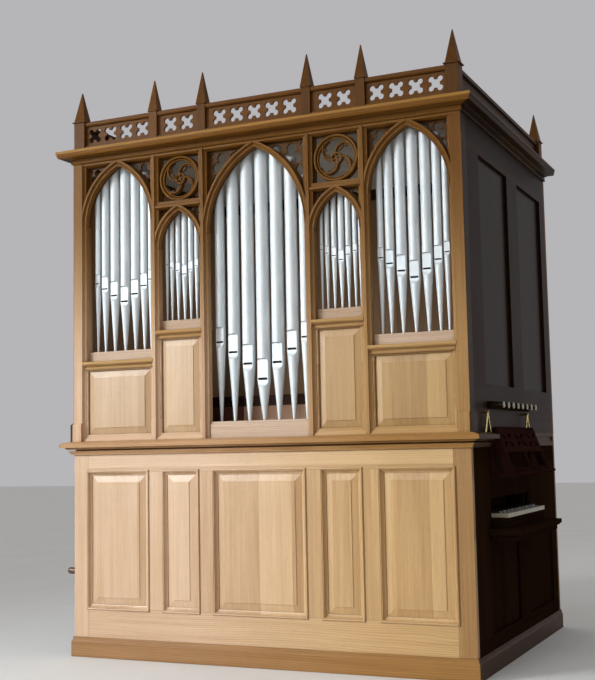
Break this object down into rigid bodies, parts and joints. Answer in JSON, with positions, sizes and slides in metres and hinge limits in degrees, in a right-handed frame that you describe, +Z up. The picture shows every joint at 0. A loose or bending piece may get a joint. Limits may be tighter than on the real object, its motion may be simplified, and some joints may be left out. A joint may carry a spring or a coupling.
{
  "type": "church pipe organ",
  "caption": "Gothic pipe organ in a panelled oak case: arched bays of display pipes, pierced parapet with pinnacles, and a console with draw stops and a blowing handle on its sides.",
  "frame": {"origin": "on the floor, under the middle of the plinth", "axes": "+X runs along the front to the console side, +Y runs from the pipe front to the back, +Z is up"},
  "size_m": [3.154, 2.082, 3.589],
  "materials": {
    "oak_front": "waxed honey oak",
    "oak_dark": "polished dark oak",
    "pipe_metal": "satin tin-lead pipe metal",
    "brass": "polished brass",
    "ivory": "polished ivory white",
    "ebony": "polished ebony"
  },
  "bodies": {
    "case": {"plinth": "oak_dark", "lower_front_frame": "oak_front", "lower_front_panels": "oak_front", "lower_side_frames": "oak_dark", "upper_side_frames": "oak_dark", "side_panels": "oak_dark", "back_frame": "oak_dark", "back_panels": "oak_dark", "impost": "oak_front", "corner_posts": "oak_front", "mullions": "oak_front", "outer_arches": "oak_front", "narrow_arches": "oak_front", "centre_arch": "oak_front", "wheel_panels": "oak_front", "front_rails": "oak_front", "sills": "oak_front", "upper_front_panels": "oak_front", "outer_pipes": "pipe_metal", "narrow_pipes": "pipe_metal", "centre_pipes": "pipe_metal", "cornice": "oak_front", "roof": "oak_dark", "parapet_rails": "oak_dark", "parapet_tracery": "oak_dark", "parapet_posts": "oak_dark", "pinnacles": "oak_dark", "side_parapets": "oak_dark", "wind_chest": "oak_dark", "key_desk": "oak_dark", "natural_keys": "ivory", "sharp_keys": "ebony", "stop_jamb": "oak_dark", "music_desk": "oak_dark", "desk_stays": "brass", "handle_bracket": "oak_dark"},
    "knob_1": {"stop_knob_1": "ivory"},
    "knob_2": {"stop_knob_2": "ivory"},
    "knob_3": {"stop_knob_3": "ivory"},
    "knob_4": {"stop_knob_4": "ivory"},
    "knob_5": {"stop_knob_5": "ivory"},
    "knob_6": {"stop_knob_6": "ivory"},
    "knob_7": {"stop_knob_7": "ivory"},
    "knob_8": {"stop_knob_8": "ivory"},
    "handle": {"blowing_handle": "oak_dark"}
  },
  "joints": [
    {"name": "draw_stop_1", "type": "slide", "parent": "case", "child": "knob_1", "axis": [1, 0, 0], "range_m": [0, 0.035]},
    {"name": "draw_stop_2", "type": "slide", "parent": "case", "child": "knob_2", "axis": [1, 0, 0], "range_m": [0, 0.035]},
    {"name": "draw_stop_3", "type": "slide", "parent": "case", "child": "knob_3", "axis": [1, 0, 0], "range_m": [0, 0.035]},
    {"name": "draw_stop_4", "type": "slide", "parent": "case", "child": "knob_4", "axis": [1, 0, 0], "range_m": [0, 0.035]},
    {"name": "draw_stop_5", "type": "slide", "parent": "case", "child": "knob_5", "axis": [1, 0, 0], "range_m": [0, 0.035]},
    {"name": "draw_stop_6", "type": "slide", "parent": "case", "child": "knob_6", "axis": [1, 0, 0], "range_m": [0, 0.035]},
    {"name": "draw_stop_7", "type": "slide", "parent": "case", "child": "knob_7", "axis": [1, 0, 0], "range_m": [0, 0.035]},
    {"name": "draw_stop_8", "type": "slide", "parent": "case", "child": "knob_8", "axis": [1, 0, 0], "range_m": [0, 0.035]},
    {"name": "blowing_swing", "type": "hinge", "parent": "case", "child": "handle", "pos_m": [-1.18, -0.55, 0.47], "axis": [0, 1, 0], "range_deg": [-20, 20]}
  ]
}
